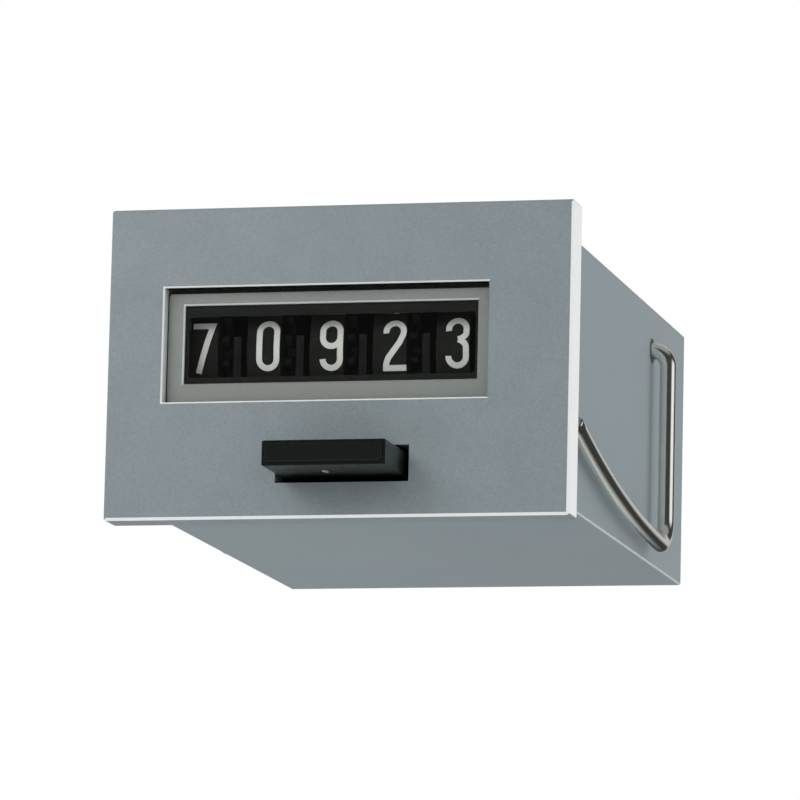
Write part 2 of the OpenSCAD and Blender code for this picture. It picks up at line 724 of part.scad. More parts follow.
// Pinion between wheel i and the next one to its right: eight full teeth at the gear,
// and every second tooth carried on to the next wheel's carry disc
module pinion(i) color([0.85, 0.82, 0.72]) {
    right = figure_x(i) + face_w / 2;
    root_r = gear_centres - gear_tip_r - tip_gap;
    mid = right + gear_t + free_gap;
    end = right + wheel_pitch - face_w - seat_fit;
    turn = 180 - pinion_angle + 180 / pinion_teeth;
    translate([0, pinion_y, pinion_z]) difference() {
        union() {
            along_x(right + seat_fit, mid) rotate(turn)
                gear_outline(pinion_teeth, pinion_r, root_r, pinion_tip_r);
            along_x(mid, end) rotate(turn) gear_outline(pinion_teeth, pinion_r, root_r, pinion_tip_r, 2);
        }
        rod_x(right - cut, right + wheel_pitch, pinion_shaft_r + run_fit, 0, 0);
    }
}

module reset_key() color([0.04, 0.04, 0.045]) translate([key_x, 0, key_z]) {
    r = key_corner_r;
    difference() {
        union() {
            along_y(key_front + r, key_back) rounded_rect(key_w, key_h, r / 2);
            along_y(key_front, key_front + r + cut) rounded_rect(key_w - 2 * r, key_h - 2 * r, r / 2);
        }
        box([-tongue[0] / 2, tongue[0] / 2], [key_back - tongue[1], key_back + cut],
            [slide_z - key_z - comb_t / 2, slide_z - key_z + comb_t / 2]);
    }
}

module finger_outline()
    polygon([[comb_front, slide_z], [finger_back, slide_z], [finger_back, comb_top + comb_t / 3],
             [finger_y, comb_top + finger_brace[1]], [finger_y, wheel_z + finger_top],
             [comb_front, wheel_z + finger_top]]);

module reset_comb() color([0.3, 0.3, 0.3]) {
    plate_z = [slide_z - comb_t / 2, comb_top];
    difference() {
        union() {
            box([finger_x(0), comb_right], [comb_front, finger_back], plate_z);
            box([comb_left, comb_right], [comb_front, comb_back], plate_z);
            box([key_x - tongue[0] / 2, key_x + tongue[0] / 2], [key_back - tongue[1], comb_front + cut],
                plate_z);
            for (x = [comb_left, comb_right - ear_w])
                box([x, x + ear_w], [comb_back - cut, cross_pin_y + ear_reach],
                    [slide_z - ear_reach, slide_z + ear_reach]);
            for (i = [0:wheel_count - 1])
                along_x(finger_x(i), finger_x(i) + heart_t - 2 * run_fit) finger_outline();
            rod_y(comb_back - cut, comb_back + peg_len, reset_spring_r - reset_wire_r - 2 * seat_fit,
                spring_x, slide_z);
        }
        for (x = [[comb_left + ear_w, spring_x - comb_rib], [spring_x + comb_rib, comb_right - ear_w]])
            box(x, [finger_back + comb_rib, comb_back - comb_rib],
                [slide_z - comb_t, slide_z + comb_t]);
        for (x = [comb_left, comb_right - ear_w])
            rod_x(x - cut, x + ear_w + cut, cross_pin_r, cross_pin_y, slide_z);
    }
}

// Two pins in the comb's ears that pass through the carrier's forks into the side plates' slots
module cross_pins() color([0.75, 0.75, 0.74]) {
    rod_x(left_plate_x - plate_t, comb_left + ear_w, cross_pin_r, cross_pin_y, slide_z);
    rod_x(comb_right - ear_w, right_plate_x + plate_t, cross_pin_r, cross_pin_y, slide_z);
}

module reset_spring() color([0.8, 0.8, 0.78]) {
    length = spring_bar_y - comb_back;
    translate([spring_x, comb_back, slide_z]) rotate([-90, 0, 0])
        coil_spring(reset_spring_r, reset_wire_r, length, reset_turns);
}

module coil_bobbin() color([0.85, 0.84, 0.78]) translate([coil_x, 0, coil_z]) difference() {
    union() {
        rod_y(bobbin_y, bobbin_end, core_r + bobbin_flange_t, 0, 0);
        for (y = [bobbin_y, bobbin_end - bobbin_flange_t]) rod_y(y, y + bobbin_flange_t, bobbin_r, 0, 0);
    }
    rod_y(bobbin_y - cut, bobbin_end + cut, core_r, 0, 0);
}

module coil_winding() color([0.6, 0.28, 0.12]) translate([coil_x, 0, coil_z]) difference() {
    rod_y(bobbin_y + bobbin_flange_t, bobbin_end - bobbin_flange_t, winding_r, 0, 0);
    rod_y(bobbin_y, bobbin_end, core_r + bobbin_flange_t, 0, 0);
}

module magnet_core() color([0.55, 0.55, 0.55]) rod_y(core_front, yoke_end, core_r, coil_x, coil_z);

module magnet_yoke() color([0.58, 0.58, 0.56]) {
    x = [coil_x - yoke_w / 2, coil_x + yoke_w / 2];
    difference() {
        union() {
            box(x, [bobbin_end, yoke_end], [coil_z - bobbin_r, yoke_top]);
            box(x, [pivot_y + yoke_gap, yoke_end], [yoke_top - yoke_t, yoke_top]);
            for (s = [x[0], x[1] - yoke_ear_t]) along_x(s, s + yoke_ear_t) {
                translate([pivot_y, pivot_z]) circle(2 * pivot_r);
                translate([pivot_y, yoke_top - yoke_t]) square([2 * yoke_gap, yoke_t]);
            }
            box([coil_x - lug[0] / 2, coil_x + lug[0] / 2], [hook_y, hook_y + lug[1]],
                [yoke_top - cut, hook_z + 2 * eye_r]);
        }
        rod_x(x[0] - cut, x[1] + cut, pivot_r, pivot_y, pivot_z);
        rod_y(bobbin_end - cut, yoke_end + cut, core_r, coil_x, coil_z);
        rod_y(hook_y - cut, hook_y + lug[1] + cut, eye_r, coil_x, hook_z);
    }
}

module armature_pin() color([0.75, 0.75, 0.74])
    rod_x(coil_x - yoke_w / 2 - cut, coil_x + yoke_w / 2 + cut, pivot_r, pivot_y, pivot_z);

// Forked arm whose two pallets stand above and below the ratchet
module fork_outline() {
    dip = (pivot_y - wheel_y) * sin(armature_swing);
    upper = wheel_z + ratchet_r + pallet_gap + dip;
    lower = wheel_z - ratchet_r - pallet_gap;
    front = wheel_y - pallet_w[1] / 2;
    column = wheel_y + ratchet_r + 2 * free_gap;
    low_bar = lower - pallet_h[1] - arm_h / 2;
    for (p = [[upper, pallet_h[0] + lap], [lower, -pallet_h[1] - lap]])
        polygon([[front, p[0] + p[1]], [wheel_y - pallet_w[0] / 2, p[0]],
                 [wheel_y + pallet_w[0] / 2, p[0]], [wheel_y + pallet_w[1] / 2, p[0] + p[1]]]);
    translate([front, upper + pallet_h[0]]) square([pivot_y - front, arm_h]);
    translate([front, low_bar]) square([column + arm_column - front, arm_h / 2]);
    translate([column, low_bar]) square([arm_column, upper + arm_h - low_bar]);
}

module armature() color([0.6, 0.6, 0.6]) {
    side = yoke_w / 2 - yoke_ear_t - free_gap;
    arm_x = ratchet_x + seat_fit;
    sheet = [armature_y - armature_t, armature_y];
    web_z = pivot_z + 2 * pivot_r + free_gap;
    difference() {
        union() {
            box([coil_x - side, coil_x + side], sheet, [coil_z - core_r - 2, web_z + cut]);
            rod_x(coil_x - side, coil_x + side, pivot_r + pivot_wall, pivot_y, pivot_z);
            // Web that carries the arm past the yoke's ear
            box([coil_x - side, arm_x + arm_t], sheet, [web_z, hook_z + 2 * eye_r]);
            along_x(arm_x, arm_x + arm_t) fork_outline();
        }
        rod_x(coil_x - side - cut, coil_x + side + cut, pivot_r + run_fit, pivot_y, pivot_z);
        rod_y(sheet[0] - cut, sheet[1] + cut, eye_r, coil_x, hook_z);
    }
}

module armature_spring() color([0.8, 0.8, 0.78]) {
    gap = seat_fit + run_fit;
    translate([coil_x, armature_y + gap, hook_z]) rotate([-90, 0, 0])
        coil_spring(armature_spring_r, armature_wire_r, hook_y - armature_y - 2 * gap, armature_turns);
}

// Angles of the points round a section of the retaining wire
around = [0:22.5:359];
// Section of the stem and of the bend outside the hole, after a turn by angle a
function bend_ring(x, a) = [for (b = around) let (r = wire_bend_r + wire_r * sin(b))
    [x + r * sin(a), wire_y + wire_r * cos(b), wire_z - wire_bend_r + r * cos(a)]];
// Section of the legs round point p of their middle line, with its normal at angle a, in a leaning plane
function leg_ring(p, a) = [for (b = around) let (x = wire_r * sin(b), y = p[0] + wire_r * cos(b) * cos(a))
    [body_w / 2 + wire_bend_r + x * cos(leg_lean) + y * sin(leg_lean),
     wire_y - x * sin(leg_lean) + y * cos(leg_lean), p[1] + wire_r * cos(b) * sin(a)]];

// Bent spring wire at the right side: a stem in the housing's boss, an upright leg and a long bowed leg
module retaining_wire() color([0.78, 0.77, 0.74]) {
    bow_span = wire_y - wire_vee_r - leg_gap;
    bow_r = bow_span / (cos(leg_slope + leg_bow / 2) * leg_bow * PI / 180);
    vee = [-wire_vee_r, wire_low_z + wire_vee_r];
    bow_middle = vee + (bow_r - wire_vee_r) * [sin(leg_slope), cos(leg_slope)];
    tube(concat(
        [bend_ring(inner_w / 2 - boss_len, 0)],
        [for (k = [0:7]) bend_ring(body_w / 2, k * 90 / 8)],
        [leg_ring([0, wire_z - wire_bend_r], 0)],
        [for (k = [0:8]) let (a = -k * (90 + leg_slope) / 8) leg_ring(vee + polar(wire_vee_r, a), a)],
        [for (k = [1:10]) let (a = 270 - leg_slope - k * leg_bow / 10)
            leg_ring(bow_middle + polar(bow_r, a), a)]));
}

module right_retaining_wire() retaining_wire();
module left_retaining_wire() mirror([1, 0, 0]) retaining_wire();

module terminal_tabs() color([0.82, 0.72, 0.42])
    for (x = [-1, 1]) translate([x * tab_pitch / 2, 0, 0]) difference() {
        box([-tab_w / 2, tab_w / 2], [cover_y - tab_root, tab_end], [tab_z - tab_t / 2, tab_z + tab_t / 2]);
        translate([0, tab_end - tab_hole_end, tab_z - tab_t]) cylinder(h = 2 * tab_t, r = tab_hole_r);
    }

front_frame();
window_pane();
sight_mask();
housing();
rear_cover();
left_side_plate();
right_side_plate();
tie_rods();
spring_bar();
rear_bridge();
cover_screws();
wheel_shaft();
number_wheel(0);  // ten_thousands_wheel
number_wheel(1);  // thousands_wheel
number_wheel(2);  // hundreds_wheel
number_wheel(3);  // tens_wheel
number_wheel(4);  // units_wheel
carrier_shaft();
pinion_carrier();
pinion_shaft();
pinion(0);  // ten_thousands_pinion
pinion(1);  // thousands_pinion
pinion(2);  // hundreds_pinion
pinion(3);  // tens_pinion
reset_key();
reset_comb();
cross_pins();
reset_spring();
coil_bobbin();
coil_winding();
magnet_core();
magnet_yoke();
armature();
armature_pin();
armature_spring();
left_retaining_wire();
right_retaining_wire();
terminal_tabs();
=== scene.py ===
# %% [markdown]
# # A resettable counter
# A machine adds one to this counter at every stroke, and a key under the window sets it back to zero.
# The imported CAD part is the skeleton: it holds every size and every joint. This script gives that
# skeleton its looks: lacquer, black mouldings, printed figures, bright spring wire and a studio.
# All lengths in the cells are in millimetres, and one factor turns them into Blender's metres.

# %% Load the frame
import math

import bmesh
import bpy
from mathutils import Matrix, Vector


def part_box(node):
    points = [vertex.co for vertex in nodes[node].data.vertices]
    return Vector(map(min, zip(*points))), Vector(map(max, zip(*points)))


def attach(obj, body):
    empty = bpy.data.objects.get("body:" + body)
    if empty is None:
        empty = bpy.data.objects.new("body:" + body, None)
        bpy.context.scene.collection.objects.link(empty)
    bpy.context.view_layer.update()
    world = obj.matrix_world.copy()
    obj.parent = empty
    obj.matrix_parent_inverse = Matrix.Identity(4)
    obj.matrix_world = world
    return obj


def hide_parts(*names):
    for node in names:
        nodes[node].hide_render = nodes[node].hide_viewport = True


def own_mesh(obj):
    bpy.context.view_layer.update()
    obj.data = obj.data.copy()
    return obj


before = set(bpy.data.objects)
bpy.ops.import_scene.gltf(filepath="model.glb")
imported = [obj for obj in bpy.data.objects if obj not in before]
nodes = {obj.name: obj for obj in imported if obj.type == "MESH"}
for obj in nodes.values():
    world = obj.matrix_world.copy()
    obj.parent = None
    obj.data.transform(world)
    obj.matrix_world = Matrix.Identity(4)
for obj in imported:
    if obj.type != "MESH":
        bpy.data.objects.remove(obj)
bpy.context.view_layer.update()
scene = bpy.context.scene
MM = 0.001

# %% [markdown]
# Three small helpers serve many cells: a point on a circle, the faces between two rings of points, and a
# new object made from points and faces. Operators could add such meshes, but they need a selection and a
# context, and a mesh from plain data is the same each time.


# %% Mesh helpers
def polar(radius, degrees):
    """A point at that distance and angle from the middle."""
    turn = math.radians(degrees)
    return Vector((radius * math.cos(turn), radius * math.sin(turn)))


def band(first, second, count):
    """The faces between two closed rings of that many points, which start at those numbers."""
    return [(first + k, first + (k + 1) % count, second + (k + 1) % count, second + k) for k in range(count)]


def new_object(name, verts, faces, paint=None):
    """An object from points in metres and faces, in the scene."""
    mesh = bpy.data.meshes.new(name)
    mesh.from_pydata(verts, [], faces)
    if paint:
        mesh.materials.append(paint)
    piece = bpy.data.objects.new(name, mesh)
    scene.collection.objects.link(piece)
    return piece


print("helpers: a ring of four has", len(band(0, 4, 4)), "side faces")

# %% [markdown]
# ## The camera
# The photograph was taken from below and from the right with a long lens, so the lines of the housing
# hardly converge. A camera could be placed by eye. Here its angles come from the corners of the flange,
# because a corner that is a millimetre off shows at once on such a plain box.

# %% Camera
AZIMUTH, ELEVATION, ROLL = (math.radians(a) for a in (14.016, -9.453, 1.32))
DISTANCE, LENS, SENSOR = 771.5, 278.42, 36
AIM = Vector((8.183, -4.5, -5.172))
FARTHEST = 20                      # metres

back = Vector((math.sin(AZIMUTH) * math.cos(ELEVATION), -math.cos(AZIMUTH) * math.cos(ELEVATION),
               math.sin(ELEVATION)))
level = Vector((math.cos(AZIMUTH), math.sin(AZIMUTH), 0))
upward = back.cross(level)
right = level * math.cos(ROLL) + upward * math.sin(ROLL)
up = upward * math.cos(ROLL) - level * math.sin(ROLL)
camera_data = bpy.data.cameras.new("camera")
camera_data.lens = LENS
camera_data.sensor_width = SENSOR
camera_data.clip_end = FARTHEST
camera = bpy.data.objects.new("camera", camera_data)
scene.collection.objects.link(camera)
camera.matrix_world = Matrix.Translation((AIM + back * DISTANCE) * MM) @ Matrix(
    (right, up, back)).transposed().to_4x4()
scene.camera = camera
print("camera at", [round(v, 3) for v in camera.matrix_world.translation])

# %% [markdown]
# ## The studio
# Shaders are networks of nodes, and they could be wired by hand in the shader editor. The helpers here make
# nodes, join them and calculate with them, so that each network further on reads like a formula.


# %% Node helpers
def new_node(tree, kind, **values):
    """A new node of that kind, with those values in its sockets."""
    node = tree.nodes.new("ShaderNode" + kind)
    for socket, value in values.items():
        node.inputs[socket.replace("_", " ")].default_value = value
    return node


def link(tree, start, output, end, socket):
    """Joins one node's output to another node's input."""
    tree.links.new(start.outputs[output], end.inputs[socket])


def calculated(tree, operation, *values):
    """A Math node; each value is a number, a node, or a pair of a node and its output."""
    node = new_node(tree, "Math")
    node.operation = operation
    for socket, value in enumerate(values):
        if isinstance(value, (int, float)):
            node.inputs[socket].default_value = value
        else:
            start, output = value if isinstance(value, tuple) else (value, 0)
            link(tree, start, output, node, socket)
    return node


def combined(tree, operation, first, *others):
    """Several values made one by the same operation, such as their product or the greatest of them."""
    for other in others:
        first = calculated(tree, operation, first, other)
    return first


def ramp_between(tree, source, start, full):
    """A value that goes smoothly from 0 to 1 while the source goes from start to full."""
    ramp = new_node(tree, "MapRange", From_Min=start, From_Max=full)
    ramp.interpolation_type = "SMOOTHSTEP"
    link(tree, *source, ramp, "Value")
    return ramp


def two_looks(tree, for_light, for_view, output):
    """One shader for rays that only light, and one for camera, glossy and transmission rays."""
    path = new_node(tree, "LightPath")
    seen_directly = combined(tree, "MAXIMUM", (path, "Is Camera Ray"), (path, "Is Glossy Ray"),
                             (path, "Is Transmission Ray"))
    choice = new_node(tree, "MixShader")
    link(tree, seen_directly, 0, choice, 0)
    link(tree, for_light, 0, choice, 1)
    link(tree, for_view, 0, choice, 2)
    link(tree, choice, 0, output, "Surface")


def bare_material(name):
    """A new material without nodes, and its node tree."""
    paint = bpy.data.materials.new(name)
    paint.use_nodes = True
    paint.node_tree.nodes.clear()
    return paint, paint.node_tree


# %% [markdown]
# What the bright wire mirrors tells where things stood: a pale backdrop behind, a light box at the right,
# a grey table at the left, and a dark room in front and at the corners. An even white surround would wash
# the dark stripes out. So the world is pure white for the camera, and gloss and glass see that room.
# The key's shadow is faint and the wire's can't be seen, so most of the light comes evenly from all round,
# as in a tent of white cloth. The world gives that light, and soft lamps add what differs between faces.

# %% World and view
scene.view_settings.view_transform = "Standard"
TENT = 0.8                         # even light from all round
DARK_ROOM = 0.04
ROOM_PARTS = {
    # strength, and where the part begins and where it is full along the axes of the direction that is
    # looked in; an axis between bars counts the same to both sides
    "backdrop": (0.5, {"|X|": (0.42, 0.3), "Y": (0.3, 0.6), "Z": (-0.12, 0.1)}),
    "light box": (0.85, {"X": (0.82, 0.97), "|Z|": (0.7, 0.45)}),
    "table": (0.5, {"X": (0.4, -0.1), "Z": (-0.25, -0.5)}),
    "ceiling": (0.28, {"Z": (0.6, 0.85)}),
    "left wall": (0.28, {"X": (-0.7, -0.95)}),
}
world = bpy.data.worlds.new("white surround")
world.use_nodes = True
scene.world = world
sky = world.node_tree
sky.nodes.clear()
direction, axes, path = (new_node(sky, kind) for kind in ("TexCoord", "SeparateXYZ", "LightPath"))
link(sky, direction, "Generated", axes, 0)


def room_part(strength, limits):
    """How bright one part of the room is in each direction."""
    ramps = []
    for axis, (start, full) in limits.items():
        source = (axes, axis.strip("|"))
        if axis != source[1]:
            source = (calculated(sky, "ABSOLUTE", source), 0)
        ramps.append(ramp_between(sky, source, start, full))
    return combined(sky, "MULTIPLY", *ramps, strength)


room = combined(sky, "MAXIMUM", DARK_ROOM, (path, "Is Camera Ray"),
                *[room_part(*part) for part in ROOM_PARTS.values()])
seen = new_node(sky, "Background", Color=(1, 1, 1, 1))
link(sky, room, 0, seen, "Strength")
light = new_node(sky, "Background", Color=(1, 1, 1, 1), Strength=TENT)
two_looks(sky, light, seen, new_node(sky, "OutputWorld"))
print("the world lights with", TENT, "and gloss sees a dark room with:", ", ".join(ROOM_PARTS))

# %% [markdown]
# The main lamp stands in front at the left, a little higher than the window, and a small one close by
# brightens the front's upper left. One from the right lights the long side, one from below lights the
# underside, and two more lift the left side and the rear. Gloss doesn't mirror the lamps, because the
# room above already says what it sees.

# %% Lamps
LAMPS = {
    # name: place, point aimed at, width and height, watts
    "soft_main": ((-150, -600, 150), (0, 0, 0), (400, 250), 0.75),
    "soft_near": ((-90, -150, 70), (-20, 0, 8), (110, 60), 0.11),
    "soft_right": ((400, 150, -20), (28, 40, 0), (600, 700), 1.8),
    "soft_below": ((-110, 40, -165), (-20, 30, 0), (120, 120), 0.10),
    "soft_left": ((-600, 200, 150), (0, 30, 0), (300, 300), 0.7),
    "soft_rear": ((-150, 600, 250), (0, 60, 0), (300, 300), 0.8),
}


def soft_lamp(name, place, aim, size, watts):
    """An oblong area lamp that faces the point it is aimed at."""
    data = bpy.data.lights.new(name, "AREA")
    data.shape = "RECTANGLE"
    data.size, data.size_y = (side * MM for side in size)
    data.energy = watts
    lamp = bpy.data.objects.new(name, data)
    scene.collection.objects.link(lamp)
    lamp.location = Vector(place) * MM
    lamp.rotation_euler = (Vector(aim) - Vector(place)).to_track_quat("-Z", "Y").to_euler()
    lamp.visible_camera = False
    lamp.visible_glossy = False


for lamp_name, settings in LAMPS.items():
    soft_lamp(lamp_name, *settings)
print("lamps:", ", ".join(LAMPS))

# %% [markdown]
# The floor lies well below the object, because the camera looks up past it. It is pale, as the tent is,
# so it lights the underside about as the rest is lit. For the camera a share of it is plain white, so that
# it runs into the background without an edge and still shows the object's shadow. Gloss sees the grey table
# of the studio in its place.

# %% Floor
FLOOR_Z, FLOOR_HALF = -180, 1500
CLOTH, SHADED, WHITE_SHARE = 0.85, 0.6, 0.5     # greys for light and for the camera, and plain white
floor_paint, floor_tree = bare_material("pale floor")
cloth, shaded = (new_node(floor_tree, "BsdfDiffuse", Color=(grey, grey, grey, 1)) for grey in (CLOTH, SHADED))
white_share = new_node(floor_tree, "Emission", Strength=WHITE_SHARE)
seen_floor = new_node(floor_tree, "AddShader")
link(floor_tree, shaded, 0, seen_floor, 0)
link(floor_tree, white_share, 0, seen_floor, 1)
two_looks(floor_tree, cloth, seen_floor, new_node(floor_tree, "OutputMaterial"))
corners = [(-FLOOR_HALF, -FLOOR_HALF), (FLOOR_HALF, -FLOOR_HALF), (FLOOR_HALF, FLOOR_HALF),
           (-FLOOR_HALF, FLOOR_HALF)]
floor = new_object("floor", [Vector((x, y, FLOOR_Z)) * MM for x, y in corners], [(0, 1, 2, 3)], floor_paint)
floor.visible_glossy = False
print("floor", FLOOR_Z, "mm below the middle of the flange")

# %% [markdown]
# ## Finishes
# Every finish is a Principled shader with three procedural parts: a tone that wanders a little over the
# surface, a fine grain that the tone and the gloss share, and a bump from the same grain. An image could
# hold the same detail, but noise in object space needs no unwrapping and has the same scale on every
# piece. The grain's size is given in millimetres.


# %% The finish maker
BROAD_GRAINS, BROAD_SHARE = 30, 0.35        # size of the broad tone in grains, and its weight
TONE_FROM, TONE_TO = 0.42, 0.93             # mixed noise that gets the darkest and the lightest tone
GLOSS_FROM, GLOSS_TO, GLOSS_SPREAD = 0.3, 0.7, 0.15
RELIEF = 0.6


def finish(name, colour, rough, metal=0.0, grain=0.3, tone=0.08, bump=0.01, stretch=(1, 1, 1), ior=1.5):
    """A procedural material: colour and roughness that vary with a grain of that size in mm."""
    paint = bpy.data.materials.new(name)
    paint.use_nodes = True
    tree = paint.node_tree
    shader = tree.nodes["Principled BSDF"]
    shader.inputs["Metallic"].default_value = metal
    shader.inputs["IOR"].default_value = ior
    place = new_node(tree, "TexCoord")
    scaled = new_node(tree, "Mapping", Scale=stretch)
    fine = new_node(tree, "TexNoise", Scale=1 / (grain * MM), Detail=3)
    broad = new_node(tree, "TexNoise", Scale=1 / (BROAD_GRAINS * grain * MM), Detail=2)
    both = calculated(tree, "MULTIPLY_ADD", (broad, "Fac"), BROAD_SHARE, (fine, "Fac"))
    ramp = new_node(tree, "ValToRGB")
    tones = zip(ramp.color_ramp.elements, (TONE_FROM, TONE_TO), (1 - tone, 1 + tone))
    for element, position, factor in tones:
        element.position = position
        element.color = (*[min(1, c * factor) for c in colour], 1)
    gloss = new_node(tree, "MapRange", From_Min=GLOSS_FROM, From_Max=GLOSS_TO,
                     To_Min=rough * (1 - GLOSS_SPREAD), To_Max=min(1, rough * (1 + GLOSS_SPREAD)))
    relief = new_node(tree, "Bump", Strength=RELIEF, Distance=bump * MM)
    for joined in ((place, "Object", scaled, "Vector"), (scaled, "Vector", fine, "Vector"),
                   (scaled, "Vector", broad, "Vector"), (both, 0, ramp, "Fac"),
                   (ramp, "Color", shader, "Base Color"), (fine, "Fac", gloss, "Value"),
                   (gloss, "Result", shader, "Roughness"), (fine, "Fac", relief, "Height"),
                   (relief, "Normal", shader, "Normal")):
        link(tree, *joined)
    return paint


# %% [markdown]
# The front is sprayed with a silver lacquer: small metal flakes in a grey binder, which sparkle in fine
# specks. The housing behind it is smoother. The key, the wheels and the rear cover are black mouldings.
# The figures are printed in a warm light grey, and the spring wire is plated and bright.

# %% The finishes of this counter
silver_lacquer = finish("silver lacquer", (0.215, 0.25, 0.265), 0.5, metal=0.15, grain=0.22, tone=0.12,
                        bump=0.006, ior=1.2)
housing_paint = finish("housing paint", (0.215, 0.25, 0.265), 0.6, metal=0.1, grain=0.5, tone=0.04,
                       bump=0.004, ior=1.15)
# painted light: a lighter grey that lifts the shade inside the window's recess
ledge_painted_light = finish("ledge painted light", (0.25, 0.26, 0.245), 0.6, grain=0.3, tone=0.05, bump=0.004, ior=1.2)
# painted highlight: a light finish on the flange's edges where the light catches them
painted_highlight_edge = finish("painted highlight edge", (0.65, 0.67, 0.66), 0.45, grain=0.3, tone=0.03, bump=0.002, ior=1.3)
# painted highlight: a lighter finish on the housing's lower folds
painted_highlight_fold = finish("painted highlight fold", (0.42, 0.44, 0.45), 0.5, grain=0.3, tone=0.05, bump=0.003)
# painted dark reflection: a darker finish on the housing's upper folds and rear rim
painted_dark_reflection_edge = finish("painted dark reflection edge", (0.09, 0.10, 0.105), 0.5, grain=0.3, tone=0.05, bump=0.003)
key_black = finish("key black", (0.006, 0.009, 0.007), 0.3, grain=0.25, tone=0.15, bump=0.002, ior=1.45)
oval_grey = finish("oval grey", (0.22, 0.22, 0.21), 0.4, grain=0.2, tone=0.1, bump=0.004)
wheel_black = finish("wheel black", (0.013, 0.014, 0.011), 0.45, grain=0.3, tone=0.2, bump=0.004, ior=1.4)
cover_black = finish("cover black", (0.012, 0.012, 0.012), 0.55, grain=0.35, tone=0.2, bump=0.02, ior=1.4)
comb_grey = finish("comb grey", (0.011, 0.011, 0.010), 0.5, grain=0.3, tone=0.15, bump=0.005, ior=1.4)
figure_paint = finish("figure paint", (0.67, 0.67, 0.63), 0.6, grain=0.35, tone=0.07, bump=0.004)
spring_steel = finish("spring steel", (0.93, 0.93, 0.87), 0.14, metal=1.0, grain=0.4, tone=0.06, bump=0.002)
plate_steel = finish("plate steel", (0.5, 0.5, 0.47), 0.35, metal=1.0, grain=0.5, tone=0.1, bump=0.004)
turned_steel = finish("turned steel", (0.6, 0.6, 0.58), 0.28, metal=0.8, grain=0.3, tone=0.08, bump=0.003)
ivory_plastic = finish("ivory plastic", (0.68, 0.62, 0.48), 0.4, grain=0.5, tone=0.05, bump=0.004)
copper_wire = finish("copper wire", (0.45, 0.13, 0.05), 0.3, metal=0.8, grain=0.25, tone=0.15, bump=0.02,
                     stretch=(0.3, 3, 0.3))
tab_metal = finish("tab metal", (0.72, 0.62, 0.38), 0.35, metal=0.6, grain=0.3, tone=0.08, bump=0.003)

PANE_GLOSS = 0.045
clear_pane, pane_tree = bare_material("clear pane")
through = new_node(pane_tree, "BsdfTransparent", Color=(0.97, 0.98, 0.98, 1))
shine = new_node(pane_tree, "BsdfGlossy", Roughness=0.03)
pane_mix = new_node(pane_tree, "MixShader")
pane_mix.inputs[0].default_value = PANE_GLOSS
link(pane_tree, through, 0, pane_mix, 1)
link(pane_tree, shine, 0, pane_mix, 2)
link(pane_tree, pane_mix, 0, new_node(pane_tree, "OutputMaterial"), "Surface")
print("finishes:", len(bpy.data.materials))

# %% [markdown]
# ## Edges that catch the light
# A moulded, cast or stamped edge is never sharp: it has a radius of a tenth or two, and that radius draws
# the thin bright lines that the eye reads as real. Each edge could be modelled by hand. The CAD solids
# are exact, so their faces are cleaned and a bevel is run along every sharp edge of a copy. The copy
# then stands in for the CAD node.


# %% The edge softener
WELD, FLAT_ANGLE, SHARP_ANGLE = 0.001, 0.4, 38      # mm, then degrees
LARGE_FACES_FIRST = 100


def softened(node, name, paint, body, width, segments=2):
    """A copy of a CAD node whose sharp edges are rounded by that width, in mm."""
    shape = bmesh.new()
    shape.from_mesh(nodes[node].data)
    bmesh.ops.remove_doubles(shape, verts=shape.verts, dist=WELD * MM)
    bmesh.ops.dissolve_limit(shape, angle_limit=math.radians(FLAT_ANGLE), verts=shape.verts,
                             edges=shape.edges)
    mesh = bpy.data.meshes.new(name)
    shape.to_mesh(mesh)
    shape.free()
    mesh.shade_smooth()
    piece = bpy.data.objects.new(name, mesh)
    scene.collection.objects.link(piece)
    mesh.materials.append(paint)
    bevel = piece.modifiers.new("soft edges", "BEVEL")
    bevel.width = width * MM
    bevel.segments = segments
    bevel.limit_method = "ANGLE"
    bevel.angle_limit = math.radians(SHARP_ANGLE)
    bevel.use_clamp_overlap = True
    normals = piece.modifiers.new("flat faces", "WEIGHTED_NORMAL")
    normals.keep_sharp = False
    normals.weight = LARGE_FACES_FIRST
    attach(piece, body)
    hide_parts(node)
    return piece


def repainted(piece, paint, wanted):
    """Gives a second finish to the faces whose middle, in mm, and normal pass the test."""
    piece.data.materials.append(paint)
    faces = [face for face in piece.data.polygons if wanted(face.center / MM, face.normal)]
    for face in faces:
        face.material_index = len(piece.data.materials) - 1
    print(paint.name, "on", len(faces), "faces of", piece.name)


# %% [markdown]
# ## Front frame, housing and key
# The front frame is one die casting: flange, ledge and collar. The housing is a drawn tube with thin
# walls. The key is a plain black bar, and all its edges are rounded in three steps instead of two.

# %% Casing
flange = softened("front_frame", "flange", silver_lacquer, "case", 0.08)
tube = softened("housing", "housing_tube", housing_paint, "case", 0.15)
softened("reset_key", "key_bar", key_black, "key", 0.15, segments=3)
softened("rear_cover", "rear_lid", cover_black, "case", 0.15)
softened("cover_screws", "lid_screws", turned_steel, "case", 0.1)
softened("terminal_tabs", "blade_tabs", tab_metal, "case", 0.08)
softened("sight_mask", "mask", key_black, "case", 0.05)

# %% [markdown]
# The flange's sides and its lower and right bevels are painted bright and not grey: a painted highlight
# where the light from the right and from below catches them, and so are the recess's rim and left wall.
# The ledge inside the recess takes a lighter, flatter grey, painted light that lifts the recess's shade,
# and black along the recess's upper wall is painted shade. Second pieces could lie on these places. Here
# the faces take another finish, chosen by where they lie and how they face.

# %% Painted highlights, painted light and painted shade
FLANGE_X = 30
FACE_Y, RIM_Y, LEDGE_REAR = -4.2, -3.2, -2.3     # foot of the rim's bevel, outer part, behind the ledge
RECESS_X, RECESS_Z, RECESS_HALF = -1.75, 2.4, (21.4, 7.7)
UPPER_WALL_Z = 8.4
NEAR = 0.05                                      # mm that a place may be out
FACING, BEVEL, FOLD = 0.9, 0.5, 0.3              # share of the normal that counts as facing one way


